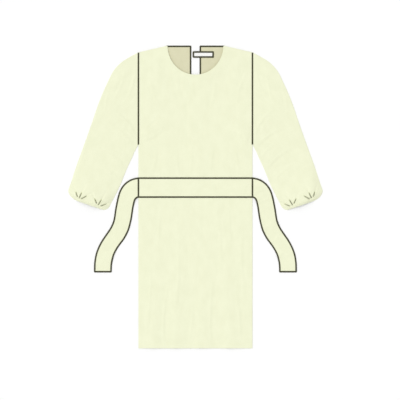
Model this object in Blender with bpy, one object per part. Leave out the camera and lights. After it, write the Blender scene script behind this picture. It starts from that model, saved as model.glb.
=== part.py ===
"""Isolation gown of thin nonwoven cloth, laid flat on a table with its front up.

X runs across the gown, Y from the hem to the neck and Z up from the table. The gown's own right
and left are the wearer's, so the right sleeve is on the -X side. The origin is on the table,
under the middle of the gown. Sizes are in millimetres and become metres when a mesh is made.
"""

import math

import bmesh
import bpy
import numpy as np
from mathutils import Vector

MM = 0.001

# The cut of the gown.
LENGTH = 1150.0
BODY_WIDTH = 433.0
SHOULDER_DROP = 25.5
ARMHOLE_DEPTH = 349.0
NECK_HALF_WIDTH = 106.0
NECK_DEPTH = 110.0
YOKE_BELOW_NECK = 35.0
BACK_OPENING = 32.0
BELT_HEIGHT = 77.0
BELT_MIDDLE_Y = 35.7
TAB_LENGTH = 80.0
TAB_HEIGHT = 24.0
TAB_MIDDLE = (29.7, 541.5)

# The cloth and how its pieces lie on each other.
WALL = 1.0
TAB_WALL = 1.5
SEAM_GAP = 0.3
LAYER = WALL + SEAM_GAP

# How far the cloth lifts off the table.
EDGE_FADE = 30.0
NECK_LIFT = 3.4
NECK_LIFT_WIDTH = 38.0
GATHER_DEPTH = 5.0
GATHER_DEPTH_UNDER = 2.0
CROWN_FULLNESS = 2.5
TIE_DROP_LENGTH = 45.0

# How finely the pieces are cut into points. The shares run from the neck point to the side seam,
# and from the yoke to the front's upper edge.
SHOULDER_SHARES = (0.25, 0.5, 0.73, 0.9, 1.0)
YOKE_SHARES = (0.0, 0.3, 0.56, 0.8, 1.0)
NECK_ANGLE_STEP = 15
FRONT_ROW_STEP = 40.0
SLEEVE_STEP = 42.0
TIE_STEP = 19.0

TOP = LENGTH / 2
HEM = -LENGTH / 2
SIDE = BODY_WIDTH / 2
UNDERARM_Y = TOP - SHOULDER_DROP - ARMHOLE_DEPTH
SEAM_X = SIDE + SEAM_GAP
YOKE_Y = TOP - NECK_DEPTH - YOKE_BELOW_NECK
BELT_BOTTOM = BELT_MIDDLE_Y - BELT_HEIGHT / 2
BELT_TOP = BELT_MIDDLE_Y + BELT_HEIGHT / 2

# Sections of a sleeve from the armhole to the cuff. Each runs from the overarm fold to the
# underarm seam. X is measured outwards from the middle of the gown. crown is how far the upper
# wall rises over its two edges, edge is the radius of those edges, and gather is the share of
# the gathers' depth. The last three sections round off the corners of the cuff.
SLEEVE_COLUMNS = ("over_x", "over_y", "under_x", "under_y", "crown", "edge", "gather")
SLEEVE_SECTIONS = (
    (SEAM_X, TOP - SHOULDER_DROP, SEAM_X, UNDERARM_Y, 0.0, 1.15, 0.0),
    (252.0, 530.5, 222.0, 190.0, 0.2, 1.2, 0.0),
    (282.0, 511.0, 226.5, 181.0, 0.25, 1.25, 0.0),
    (304.0, 489.0, 231.5, 171.5, 0.3, 1.25, 0.0),
    (337.5, 427.5, 241.5, 148.0, 0.4, 1.3, 0.0),
    (363.7, 367.0, 254.0, 122.0, 0.5, 1.35, 0.0),
    (395.5, 275.5, 269.0, 87.0, 0.6, 1.4, 0.0),
    (428.0, 184.5, 286.0, 45.0, 0.9, 1.6, 0.0),
    (455.0, 110.0, 301.5, 13.0, 3.0, 2.2, 0.0),
    (472.0, 57.0, 316.0, -15.0, 6.8, 3.3, 0.0),
    (478.5, 39.0, 322.0, -26.5, 8.2, 3.7, 0.45),
    (483.0, 22.0, 327.5, -37.0, 9.0, 4.0, 0.95),
    (478.0, 8.0, 333.0, -43.0, 9.0, 4.0, 1.0),
    (466.0, -5.0, 341.0, -48.0, 8.5, 4.0, 0.85),
    (451.0, -14.5, 351.0, -49.0, 8.0, 4.0, 0.7),
)

# The points of a sleeve's upper wall, as shares of the way from the overarm edge to the underarm
# edge: up the arm, and at the cuff. The cuff's two fans of three gathers draw together towards
# its mouth. depth is 1 at the bottom of a gather and 0 clear of them.
# The columns are arm, cuff and depth.
ACROSS_SLEEVE = (
    (0.060, 0.080, 0.0),
    (0.120, 0.160, 0.0),
    (0.170, 0.202, 1.0),
    (0.235, 0.230, 0.2),
    (0.303, 0.258, 1.0),
    (0.365, 0.286, 0.2),
    (0.430, 0.314, 1.0),
    (0.480, 0.370, 0.0),
    (0.530, 0.500, 0.0),
    (0.580, 0.635, 0.0),
    (0.635, 0.698, 1.0),
    (0.705, 0.727, 0.2),
    (0.776, 0.755, 1.0),
    (0.840, 0.785, 0.2),
    (0.900, 0.815, 1.0),
    (0.945, 0.895, 0.0),
)

# Sections of a tie from the belt's end to its free end, each from the tie's outer edge to the
# edge by the gown. X is measured outwards. The columns are outer_x, outer_y, inner_x and inner_y.
TIE_SECTIONS = (
    (SEAM_X, BELT_TOP, SEAM_X, BELT_BOTTOM),
    (238.0, 69.8, 218.9, -2.9),
    (257.5, 60.2, 221.2, -3.9),
    (275.0, 44.5, 224.0, -5.7),
    (288.0, 23.0, 227.2, -9.6),
    (296.4, -4.1, 230.5, -17.3),
    (301.6, -29.0, 235.4, -39.6),
    (305.5, -50.0, 238.6, -61.0),
    (308.9, -74.0, 242.4, -84.5),
    (313.0, -93.5, 248.8, -112.0),
    (317.5, -105.0, 254.2, -129.0),
    (325.0, -119.5, 267.3, -154.7),
    (338.7, -140.0, 283.6, -177.7),
    (354.3, -162.9, 296.5, -196.3),
    (367.6, -187.0, 305.8, -213.5),
    (378.3, -215.0, 311.5, -229.0),
    (383.9, -244.5, 316.6, -252.0),
    (385.5, -286.4, 318.5, -286.4),
)
ACROSS_TIE = (0.0, 0.25, 0.5, 0.75, 1.0)

# Soft folds: each is a ridge along a line on the table, from one height to another.
# The columns are x, y and height at one end, x, y and height at the other end, and width.
FRONT_FOLDS = (
    # Ripples of the skirt, that open towards the hem.
    (-146.0, -170.0, 0.0, -160.0, -575.0, 3.0, 28.0),
    (-58.0, -110.0, 0.4, -74.0, -575.0, 3.5, 30.0),
    (34.0, -210.0, 0.0, 26.0, -575.0, 2.6, 26.0),
    (112.0, -80.0, 0.4, 132.0, -575.0, 3.4, 29.0),
    # Short folds above and below the belt.
    (-104.0, 82.0, 1.8, -96.0, 196.0, 0.0, 24.0),
    (14.0, 82.0, 2.0, 6.0, 216.0, 0.0, 26.0),
    (118.0, 82.0, 1.6, 128.0, 180.0, 0.0, 22.0),
    (-34.0, -12.0, 1.8, -44.0, -110.0, 0.3, 24.0),
    (76.0, -12.0, 1.8, 90.0, -130.0, 0.3, 24.0),
    # Pulls from the armholes across the chest.
    (-196.0, 236.0, 3.2, -92.0, 318.0, 0.0, 26.0),
    (196.0, 228.0, 3.6, 84.0, 330.0, 0.0, 28.0),
    (-152.0, 508.0, 2.2, -122.0, 330.0, 0.0, 26.0),
    (158.0, 504.0, 2.6, 134.0, 310.0, 0.0, 28.0),
)
SLEEVE_FOLDS = (
    # The wearer's right sleeve.
    (-262.0, 238.0, 2.2, -330.0, 330.0, 0.0, 24.0),
    (-292.0, 128.0, 2.0, -372.0, 226.0, 0.0, 24.0),
    (-330.0, 60.0, 1.6, -404.0, 132.0, 0.0, 22.0),
    (-282.0, 470.0, 1.6, -338.0, 300.0, 0.4, 28.0),
    # The wearer's left sleeve.
    (256.0, 262.0, 2.0, 318.0, 366.0, 0.0, 24.0),
    (284.0, 150.0, 2.0, 362.0, 240.0, 0.0, 26.0),
    (322.0, 74.0, 1.8, 410.0, 158.0, 0.0, 22.0),
    (276.0, 474.0, 1.8, 330.0, 318.0, 0.4, 26.0),
)
TIE_FOLDS = (
    # Buckles on the inside of each bend.
    (-226.0, -14.0, 3.0, -256.0, 22.0, 0.3, 15.0),
    (-302.0, -104.0, 2.6, -268.0, -128.0, 0.2, 15.0),
    (-322.0, -228.0, 2.2, -350.0, -212.0, 0.2, 15.0),
    (228.0, -16.0, 2.8, 258.0, 20.0, 0.3, 15.0),
    (300.0, -100.0, 3.0, 268.0, -126.0, 0.2, 15.0),
    (320.0, -222.0, 2.4, 350.0, -206.0, 0.2, 15.0),
)

# Colours are linear RGB.
CLOTH_COLOUR = (0.88, 0.91, 0.67, 1.0)
INSIDE_COLOUR = (0.72, 0.70, 0.48, 1.0)
TAB_COLOUR = (0.94, 0.94, 0.90, 1.0)
CLOTH_ROUGHNESS = 0.85
TAB_ROUGHNESS = 0.7


def clear_scene():
    for obj in list(bpy.data.objects):
        bpy.data.objects.remove(obj)


def new_material(name, colour, roughness):
    material = bpy.data.materials.new(name)
    material.use_nodes = True
    shader = material.node_tree.nodes["Principled BSDF"]
    shader.inputs["Base Color"].default_value = colour
    shader.inputs["Roughness"].default_value = roughness
    shader.inputs["Metallic"].default_value = 0.0
    return material


def ramp(distance, length):
    """0 at a distance of 0, rising smoothly to 1 at the given length."""
    t = min(max(distance / length, 0.0), 1.0)
    return t * t * (3 - 2 * t)


def fold_lift(x, y, folds):
    """How far the soft folds lift the cloth at a point."""
    lift = 0.0
    for x0, y0, height0, x1, y1, height1, width in folds:
        along_x, along_y = x1 - x0, y1 - y0
        share = ((x - x0) * along_x + (y - y0) * along_y) / (along_x**2 + along_y**2)
        share = min(max(share, 0.0), 1.0)
        away = math.hypot(x - x0 - share * along_x, y - y0 - share * along_y)
        height = height0 + share * (height1 - height0)
        lift += height * math.exp(-((away / width) ** 2))
    return lift


def through(sections, longest_step):
    """Sections along a smooth curve through a table's rows, with extra ones in the long spans."""
    rows = np.array(sections)
    steps = np.linalg.norm(np.diff(rows[:, :2], axis=0), axis=1)
    at = np.concatenate([[0.0], np.cumsum(steps)])
    slopes = np.gradient(rows, at, axis=0)
    made = []
    for i, step in enumerate(steps):
        for t in np.arange(math.ceil(step / longest_step)) / math.ceil(step / longest_step):
            start = (1 + 2 * t) * (1 - t) ** 2 * rows[i] + t * (1 - t) ** 2 * step * slopes[i]
            end = t**2 * (3 - 2 * t) * rows[i + 1] - t**2 * (1 - t) * step * slopes[i + 1]
            made.append(start + end)
    made.append(rows[-1])
    return np.array(made)


def shoulder_y(x):
    """Height of the shoulder line on the table, level between the two neck points."""
    slope = SHOULDER_DROP / (SIDE - NECK_HALF_WIDTH)
    return TOP - slope * max(abs(x) - NECK_HALF_WIDTH, 0.0)


def front_top_y(x):
    """The front panel's upper edge: the round neckline, then the shoulders."""
    if abs(x) >= NECK_HALF_WIDTH:
        return shoulder_y(x)
    return TOP - NECK_DEPTH * math.sqrt(1 - (x / NECK_HALF_WIDTH) ** 2)


def front_height(x, y):
    """Height of the front panel's underside over the table. It lies on the back at the seams."""
    beside_neck = math.hypot(x / NECK_HALF_WIDTH, (TOP - y) / NECK_DEPTH) - 1
    neck = NECK_LIFT * math.exp(-((beside_neck * NECK_HALF_WIDTH / NECK_LIFT_WIDTH) ** 2))
    at_seams = ramp(SIDE - abs(x), EDGE_FADE) * ramp(shoulder_y(x) - y, EDGE_FADE)
    return LAYER + at_seams * (neck + fold_lift(x, y, FRONT_FOLDS))


def front_columns():
    """X of the front panel's points: close together where the neckline is steep."""
    neck = [NECK_HALF_WIDTH * math.cos(math.radians(a)) for a in range(90, -1, -NECK_ANGLE_STEP)]
    shoulder = [NECK_HALF_WIDTH + share * (SIDE - NECK_HALF_WIDTH) for share in SHOULDER_SHARES]
    right = neck + shoulder
    return [-x for x in reversed(right[1:])] + right


def front_rows():
    """Y of the front panel's level rows, with rows on both edges of the belt."""
    rows = []
    for low, high in ((HEM, BELT_BOTTOM), (BELT_BOTTOM, BELT_TOP), (BELT_TOP, YOKE_Y)):
        count = math.ceil((high - low) / FRONT_ROW_STEP)
        rows += [low + (high - low) * i / count for i in range(count)]
    return rows


def front_points():
    """The front panel's underside: level rows up to the yoke, then rows that fan to its edge."""
    columns = front_columns()
    rows = [[(x, y, front_height(x, y)) for x in columns] for y in front_rows()]
    for share in YOKE_SHARES:
        row = [(x, YOKE_Y + share * (front_top_y(x) - YOKE_Y)) for x in columns]
        rows.append([(x, y, front_height(x, y)) for x, y in row])
    return rows


def belt_points():
    """The belt's underside: the front panel's own points there, moved up by one layer."""
    return [
        [(x, y, z + LAYER) for x, y, z in row]
        for row in front_points()
        if BELT_BOTTOM <= row[0][1] <= BELT_TOP
    ]


def back_points(side):
    """One back panel, from its side seam to the open centre back, flat on the table."""
    columns = (BACK_OPENING / 2, NECK_HALF_WIDTH, SIDE)
    return [
        [(side * x, HEM, 0.0) for x in columns],
        [(side * x, shoulder_y(x), 0.0) for x in columns],
    ]


def tab_points():
    """The neck tab, on the inner face of the left back panel and reaching into the opening."""
    x, y = TAB_MIDDLE
    return [
        [(x + dx, y + dy, LAYER) for dx in (-TAB_LENGTH / 2, TAB_LENGTH / 2)]
        for dy in (-TAB_HEIGHT / 2, TAB_HEIGHT / 2)
    ]


def tie_points(side):
    """A tie's underside: it drops from the belt's level to the table and lies there in an S."""
    sections = through(TIE_SECTIONS, TIE_STEP)
    outer, inner = sections[:, :2], sections[:, 2:]
    steps = np.linalg.norm(np.diff((outer + inner) / 2, axis=0), axis=1)
    run = np.concatenate([[0.0], np.cumsum(steps)])
    rows = []
    for outer_edge, inner_edge, so_far in zip(outer, inner, run):
        level = 2 * LAYER * (1 - ramp(so_far, TIE_DROP_LENGTH))
        on_table = ramp(so_far, TIE_DROP_LENGTH / 2)
        row = [outer_edge + share * (inner_edge - outer_edge) for share in ACROSS_TIE]
        row = [(side * x, y) for x, y in row]
        rows.append([(x, y, level + on_table * fold_lift(x, y, TIE_FOLDS)) for x, y in row])
    return rows


def edge_arc(radius, inset):
    """Points round a sleeve's folded edge, from below, as (distance in from the edge, height)."""
    turned = radius - inset
    angles = [math.radians(a) for a in (-90, -45, 0, 45, 90)]
    return [(radius - turned * math.cos(a), radius + turned * math.sin(a)) for a in angles]


def sleeve_ring(side, section, inset):
    """One closed ring of a sleeve's wall: its outer face, or its inner face if it is inset."""
    values = dict(zip(SLEEVE_COLUMNS, section))
    drawn_in = max(values["gather"], 0.0)
    over = np.array([side * values["over_x"], values["over_y"]])
    under = np.array([side * values["under_x"], values["under_y"]])
    width, radius = np.linalg.norm(under - over), values["edge"]
    upper, lower = [], []
    for arm, cuff, depth in ACROSS_SLEEVE:
        share = arm + drawn_in * (cuff - arm)
        distance = radius + share * (width - 2 * radius)
        x, y = over + (under - over) * distance / width
        clear = ramp(min(distance, width - distance), EDGE_FADE) * ramp(abs(x) - SIDE, EDGE_FADE)
        crown = values["crown"] * (1 - abs(2 * share - 1) ** CROWN_FULLNESS)
        lift = 2 * radius + crown + clear * fold_lift(x, y, SLEEVE_FOLDS)
        upper.append((distance, lift - GATHER_DEPTH * drawn_in * depth - inset))
        lower.append((distance, GATHER_DEPTH_UNDER * drawn_in * depth + inset))
    over_edge = edge_arc(radius, inset)
    under_edge = [(width - distance, z) for distance, z in reversed(over_edge)]
    ring = over_edge + upper + under_edge + lower[::-1]
    return [(*(over + (under - over) * distance / width), z) for distance, z in ring]


def join_loops(mesh, first, second):
    """A closed band of faces between two loops of the same number of points."""
    for i in range(len(first)):
        mesh.faces.new((first[i - 1], first[i], second[i], second[i - 1]))


def build_sheet(name, rows, material, wall=WALL):
    """A wall of cloth over a grid of points on its underside."""
    mesh = bmesh.new()
    rims = []
    for up in (0.0, wall):
        grid = [[mesh.verts.new(Vector((x, y, z + up)) * MM) for x, y, z in row] for row in rows]
        for low, high in zip(grid, grid[1:]):
            for corners in zip(low, low[1:], high[1:], high):
                mesh.faces.new(corners)
        ends = [row[-1] for row in grid[1:-1]], [row[0] for row in grid[-2:0:-1]]
        rims.append(grid[0] + ends[0] + grid[-1][::-1] + ends[1])
    join_loops(mesh, *rims)
    add_object(name, mesh, material)


def build_tube(name, outer, inner, material):
    """A tube of cloth between its outer and its inner rings, open at both ends."""
    mesh = bmesh.new()
    outside, inside = (
        [[mesh.verts.new(Vector(point) * MM) for point in ring] for ring in rings]
        for rings in (outer, inner)
    )
    for skin in (outside, inside):
        for first, second in zip(skin, skin[1:]):
            join_loops(mesh, first, second)
    join_loops(mesh, outside[0], inside[0])
    join_loops(mesh, outside[-1], inside[-1])
    add_object(name, mesh, material)


def add_object(name, mesh, material):
    """An object of a closed mesh, smooth but for its sharp edges."""
    bmesh.ops.recalc_face_normals(mesh, faces=mesh.faces)
    data = bpy.data.meshes.new(name)
    mesh.to_mesh(data)
    mesh.free()
    data.shade_smooth()
    data.set_sharp_from_angle(angle=math.radians(40))
    data.materials.append(material)
    bpy.context.scene.collection.objects.link(bpy.data.objects.new(name, data))


def build_gown():
    cloth = new_material("gown_cloth", CLOTH_COLOUR, CLOTH_ROUGHNESS)
    inside = new_material("gown_inside", INSIDE_COLOUR, CLOTH_ROUGHNESS)
    tape = new_material("tab_tape", TAB_COLOUR, TAB_ROUGHNESS)
    build_sheet("front_panel", front_points(), cloth)
    build_sheet("belt", belt_points(), cloth)
    build_sheet("neck_tab", tab_points(), tape, TAB_WALL)
    for side, wearer in ((-1, "right"), (1, "left")):
        build_sheet(f"back_panel_{wearer}", back_points(side), inside)
        build_sheet(f"tie_{wearer}", tie_points(side), cloth)
        sections = through(SLEEVE_SECTIONS, SLEEVE_STEP)
        outer = [sleeve_ring(side, section, 0.0) for section in sections]
        inner = [sleeve_ring(side, section, WALL) for section in sections]
        build_tube(f"sleeve_{wearer}", outer, inner, cloth)


clear_scene()
build_gown()
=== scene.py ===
"""The looks of the isolation gown: thin shells of nonwoven cloth with their creases, the dark
overlock sewing, the white neck tab, the table and the light.

Sizes are in millimetres and become metres in new_piece. Right and left are the wearer's, so the
right sleeve is on the -X side.
"""

import bmesh
import bpy
import numpy as np
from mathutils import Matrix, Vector, noise
from mathutils.bvhtree import BVHTree


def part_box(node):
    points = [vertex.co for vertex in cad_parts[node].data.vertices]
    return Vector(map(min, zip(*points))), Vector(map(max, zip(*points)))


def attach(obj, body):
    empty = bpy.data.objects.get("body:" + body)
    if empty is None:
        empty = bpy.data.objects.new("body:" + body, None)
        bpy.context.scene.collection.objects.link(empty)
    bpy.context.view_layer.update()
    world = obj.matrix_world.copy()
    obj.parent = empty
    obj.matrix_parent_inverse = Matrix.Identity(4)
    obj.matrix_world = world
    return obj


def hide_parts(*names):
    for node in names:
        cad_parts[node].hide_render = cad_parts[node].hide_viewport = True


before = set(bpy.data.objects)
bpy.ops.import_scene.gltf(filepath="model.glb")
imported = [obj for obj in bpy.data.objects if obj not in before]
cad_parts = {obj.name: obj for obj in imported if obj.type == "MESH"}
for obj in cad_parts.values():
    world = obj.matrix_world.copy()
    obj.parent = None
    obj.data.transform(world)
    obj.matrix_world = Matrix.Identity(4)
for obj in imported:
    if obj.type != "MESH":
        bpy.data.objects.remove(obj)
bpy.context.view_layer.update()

# A millimetre, how thick the cloth and the tab's tape are, and a height above them all.
MM = 0.001
CLOTH = 0.45
TAB_CLOTH = 1
ABOVE_ALL = 60

# The room under the gown, and between its layers.
TABLE_CLEAR = 0.05
LAYER_GAP = 0.1

# How far apart the cloth's points are, or how many rows and columns of them there are.
FINE = 3.4
BELT_FINE = 3.6
BELT_ROWS = 27
FAN_ROWS = 37
BACK_ROWS, BACK_COLUMNS = 200, 46
TAB_ROWS, TAB_COLUMNS = 18, 54
TIE_COLUMNS = 25
SLEEVE_COLUMNS, UNDER_COLUMNS = 186, 58
FOLD_COLUMNS = 7

# Corners of the solids' boxes, and the edges of the pieces.
belt_low, belt_high = np.array(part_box("belt")) / MM
tab_low, tab_high = np.array(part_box("neck_tab")) / MM
(_, HEM, LAYER), (SIDE, TOP, _) = np.array(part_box("front_panel")) / MM
(BACK_EDGE, *_), (*_, WALL) = np.array(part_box("back_panel_left")) / MM
(SEAM_X, *_), (_, SHOULDER_Y, _) = np.array(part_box("sleeve_left")) / MM

# Sizes of the cut, and how far the cloth lifts, as in the solids.
NECK_HALF = 106
NECK_DEPTH = 110
UNDERARM_Y = 200.5
NECK_LIFT = 3.4
NECK_LIFT_WIDTH = 38
EDGE_FADE = 30
CROWN_FULLNESS = 2.5
FOLD_RADIUS = 1.2
TIE_DROP = 45

# How far below the neckline the front's rows start to fan out.
YOKE = 40

# The lengths over which creases and the like fade in from an edge or an end.
FRONT_FADE = 24
SIDE_SEAM_FADE = 6
UNDERARM_FADE = 12
BACK_FADE = 14
BELT_FADE = 20
PUCKER_FADE = 10
SLEEVE_FADE = 18
ARMHOLE_FADE = 22
ARMHOLE_LIFT_FADE = 9
CUFF_FADE = 30
CRIMP_FADE = 8
TIE_START_FADE = 20
TIE_END_FADE = 14
RIPPLE_FADE = 30
TAB_FADE = 5

# The same, as shares of the belt's height and the tie's half width.
BELT_EDGE_FADE = 0.25
TIE_EDGE_FADE = 0.35

# How far pieces lie above what is under them, swell or sink.
BELT_GAP = 0.6
BELT_SWELL = 0.7
DEEPEST_PUCKER = -0.2
ARMHOLE_LIFT = 0.5
TIE_GAP = 0.35
TIE_TUCK = 0.5
DEEPEST_RIPPLE = -0.1
TAB_EDGE_DROP = 0.35
TAB_SWELL = 0.45

# Lines across a sleeve from the armhole to the cuff, each from the overarm fold to the underarm
# seam. The columns are over_x, over_y, under_x and under_y, with X outwards, then how far the
# upper cloth rises over the two edges and the radius of those edges in the solid.
SLEEVE_LINES = (
    (SEAM_X, SHOULDER_Y, SEAM_X, UNDERARM_Y, 0, 1.15),
    (252, 530.5, 222, 190, 0.2, 1.2),
    (282, 511, 226.5, 181, 0.25, 1.25),
    (304, 489, 231.5, 171.5, 0.3, 1.25),
    (337.5, 427.5, 241.5, 148, 0.4, 1.3),
    (363.7, 367, 254, 122, 0.5, 1.35),
    (395.5, 275.5, 269, 87, 0.6, 1.4),
    (428, 184.5, 286, 45, 0.9, 1.6),
    (455, 110, 301.5, 13, 3, 2.2),
    (472, 57, 316, -15, 6.8, 3.3),
    (478.5, 39, 322, -26.5, 8.2, 3.7),
    (483, 22, 327.5, -37, 9, 4),
    (478, 8, 333, -43, 9, 4),
    (466, -5, 341, -48, 8.5, 4),
    (451, -14.5, 351, -49, 8, 4),
)
SLEEVE_STEPS = [6.5] * 9 + [1.4] * 5

# Lines across a tie from the belt's end to its free end, each from the tie's outer edge to the
# edge by the gown. The columns are outer_x, outer_y, inner_x and inner_y, with X outwards.
TIE_LINES = (
    (SEAM_X, belt_high[1], SEAM_X, belt_low[1]),
    (238, 69.8, 218.9, -2.9),
    (257.5, 60.2, 221.2, -3.9),
    (275, 44.5, 224, -5.7),
    (288, 23, 227.2, -9.6),
    (296.4, -4.1, 230.5, -17.3),
    (301.6, -29, 235.4, -39.6),
    (305.5, -50, 238.6, -61),
    (308.9, -74, 242.4, -84.5),
    (313, -93.5, 248.8, -112),
    (317.5, -105, 254.2, -129),
    (325, -119.5, 267.3, -154.7),
    (338.7, -140, 283.6, -177.7),
    (354.3, -162.9, 296.5, -196.3),
    (367.6, -187, 305.8, -213.5),
    (378.3, -215, 311.5, -229),
    (383.9, -244.5, 316.6, -252),
    (385.5, -286.4, 318.5, -286.4),
)

# Soft folds, each a ridge along a line. The columns are x, y and height at one end, the same at
# the other, and width.
FRONT_FOLDS = (
    # Ripples of the skirt, that open towards the hem.
    (-146, -170, 0, -160, -575, 3, 28),
    (-58, -110, 0.4, -74, -575, 3.5, 30),
    (34, -210, 0, 26, -575, 2.6, 26),
    (112, -80, 0.4, 132, -575, 3.4, 29),
    # Short folds above and below the belt.
    (-104, 82, 1.8, -96, 196, 0, 24),
    (14, 82, 2, 6, 216, 0, 26),
    (118, 82, 1.6, 128, 180, 0, 22),
    (-34, -12, 1.8, -44, -110, 0.3, 24),
    (76, -12, 1.8, 90, -130, 0.3, 24),
    # Pulls from the armholes across the chest.
    (-196, 236, 3.2, -92, 318, 0, 26),
    (196, 228, 3.6, 84, 330, 0, 28),
    (-152, 508, 2.2, -122, 330, 0, 26),
    (158, 504, 2.6, 134, 310, 0, 28),
)
SLEEVE_FOLDS = (
    (-262, 238, 2.2, -330, 330, 0, 24),
    (-292, 128, 2, -372, 226, 0, 24),
    (-330, 60, 1.6, -404, 132, 0, 22),
    (-282, 470, 1.6, -338, 300, 0.4, 28),
    (256, 262, 2, 318, 366, 0, 24),
    (284, 150, 2, 362, 240, 0, 26),
    (322, 74, 1.8, 410, 158, 0, 22),
    (276, 474, 1.8, 330, 318, 0.4, 26),
)
TIE_FOLDS = (
    (-226, -14, 3, -256, 22, 0.3, 15),
    (-302, -104, 2.6, -268, -128, 0.2, 15),
    (-322, -228, 2.2, -350, -212, 0.2, 15),
    (228, -16, 2.8, 258, 20, 0.3, 15),
    (300, -100, 3, 268, -126, 0.2, 15),
    (320, -222, 2.4, 350, -206, 0.2, 15),
)

# Creases, each a ridge, or a trough where its height is below 0, along a bowed line. The columns
# are x and y at one end and at the other, how far the line bows sideways, height and width.
FRONT_CREASES = (
    # The skirt.
    (-196, -560, -172, -250, 9, 0.9, 5.5),
    (-120, -575, -104, -330, -8, 1.1, 5),
    (-86, -470, -70, -160, 12, 0.8, 6),
    (-30, -580, -12, -420, 5, 1, 5),
    (2, -360, -14, -70, -9, 0.7, 5.5),
    (62, -580, 70, -300, -10, 1.1, 5.5),
    (92, -330, 84, -60, 7, 0.8, 5.5),
    (168, -575, 150, -350, 8, 1, 5.5),
    (188, -380, 180, -120, -10, 0.8, 5.5),
    (-150, -210, -138, -40, 6, 0.7, 5),
    (140, -190, 130, -34, -5, 0.7, 5),
    # Above the belt.
    (-168, 84, -150, 190, 6, 0.9, 5),
    (-62, 80, -70, 168, -4, 0.8, 4.5),
    (-20, 82, -24, 250, 7, 0.7, 5.5),
    (62, 80, 70, 190, -6, 0.8, 5),
    (164, 82, 148, 178, 4, 0.9, 5),
    # The chest: pulls from the underarms, the armholes and the neck.
    (-214, 214, -120, 262, 10, 1.2, 5),
    (-214, 252, -136, 322, 7, 1, 5),
    (214, 210, 128, 266, -12, 1.2, 5),
    (214, 262, 118, 318, -8, 1, 5.5),
    (-196, 470, -150, 360, -8, 0.9, 5.5),
    (196, 476, 158, 350, 9, 0.9, 5.5),
    (-70, 470, -46, 350, 8, 0.8, 5.5),
    (72, 462, 54, 330, -8, 0.8, 5.5),
    (-10, 446, 4, 330, 5, 0.6, 5.5),
)
BELT_CREASES = (
    (-190, 4, -178, 66, 3, 0.5, 6),
    (-132, 20, -84, 58, 5, 0.6, 7),
    (-62, 6, -66, 60, 3, 0.5, 6),
    (-8, 14, 44, 52, -5, 0.6, 7),
    (72, 8, 66, 64, 2, 0.5, 6),
    (112, 56, 158, 18, 4, 0.6, 7),
    (186, 6, 194, 62, -3, 0.5, 6),
)
SLEEVE_CREASES = (
    # The wearer's right sleeve: pulls from the underarm, the bend of the elbow, the wrist.
    (-224, 224, -306, 322, 12, 1.4, 5),
    (-232, 186, -330, 276, 12, 1.3, 5),
    (-250, 146, -318, 196, 7, 1, 4.5),
    (-268, 110, -372, 182, 12, 1.3, 5),
    (-292, 66, -366, 112, 8, 1.1, 4.5),
    (-228, 508, -262, 372, -9, 1.1, 5.5),
    (-268, 490, -310, 372, -8, 0.9, 5),
    (-322, 430, -344, 300, 6, 0.8, 5.5),
    (-398, 250, -352, 214, -5, 1.1, 4.5),
    (-420, 190, -366, 150, -6, 1, 4.5),
    (-440, 128, -404, 104, -4, 0.9, 4.5),
    # The wearer's left sleeve.
    (224, 232, 300, 336, -12, 1.3, 5),
    (234, 192, 336, 262, -10, 1.4, 5),
    (248, 150, 312, 206, -6, 1, 4.5),
    (272, 104, 378, 190, -13, 1.3, 5),
    (300, 58, 374, 124, -8, 1.1, 4.5),
    (226, 500, 268, 380, 9, 1.1, 5.5),
    (272, 484, 300, 350, 8, 0.9, 5),
    (326, 424, 350, 310, -6, 0.8, 5.5),
    (402, 240, 356, 222, 4, 1.1, 4.5),
    (424, 178, 362, 156, 7, 1, 4.5),
    (444, 118, 398, 100, 4, 0.9, 4.5),
)
TIE_CREASES = (
    (-224, 10, -262, 30, 4, 1, 5),
    (-238, -20, -286, -6, 4, 0.9, 5),
    (-296, -96, -256, -116, 4, 0.9, 5),
    (-318, -140, -286, -168, 3, 0.8, 5),
    (-336, -240, -376, -214, 4, 0.8, 5),
    (226, 14, 264, 26, -4, 1, 5),
    (240, -24, 288, -10, -4, 0.9, 5),
    (294, -92, 254, -120, -4, 0.9, 5),
    (316, -146, 290, -174, -3, 0.8, 5),
    (334, -232, 374, -218, -4, 0.8, 5),
)
BACK_CREASES = (
    (-88, 566, -52, 470, 6, 0.5, 8),
    (-44, 560, -34, 486, -4, 0.4, 7),
    (92, 520, 44, 478, 6, 0.5, 8),
    (58, 524, 26, 470, -4, 0.4, 7),
)

# Slow unevenness of the cloth. The columns are height, length across, length along and seed.
DRIFTS = {
    "front": (0.9, 85, 240, 3.1),
    "back": (0.12, 60, 90, 7.7),
    "belt": (0.5, 50, 70, 9.2),
    "belt puckers": (0.35, 9, 60, 1.3),
    "sleeve": (0.8, 70, 150, 5),
    "tie": (0.5, 32, 60, 2.2),
    "tie ripple": (0.5, 34, 1, 4),
    "tab": (0.08, 14, 9, 6),
}

# The gathers that the cuff's elastic draws in, in two fans of three on the upper face. The
# columns are x and y up the arm, then x and y by the mouth, with X outwards, and depth.
GATHERS = (
    (453.7, 18.6, 448.4, 1.5, 6.8),
    (432.4, 15.2, 441.2, -3.4, 7.4),
    (414.2, 3.4, 433.6, -7.2, 6.6),
    (382.3, -7.2, 375.1, -23.9, 6.8),
    (357.6, -11.4, 369, -30, 7.4),
    (339, -26.6, 359.1, -34.6, 6.2),
)
GATHER_WIDTH = 1.6
GATHER_WIDTH_UNDER = 5
GATHER_SHARE_UNDER = 0.3
GATHER_RIDGE = 0.2
TAIL_REACH = 52
TAIL_WIDTH = 4.2
TAIL_DEPTH = 1.7

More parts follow.
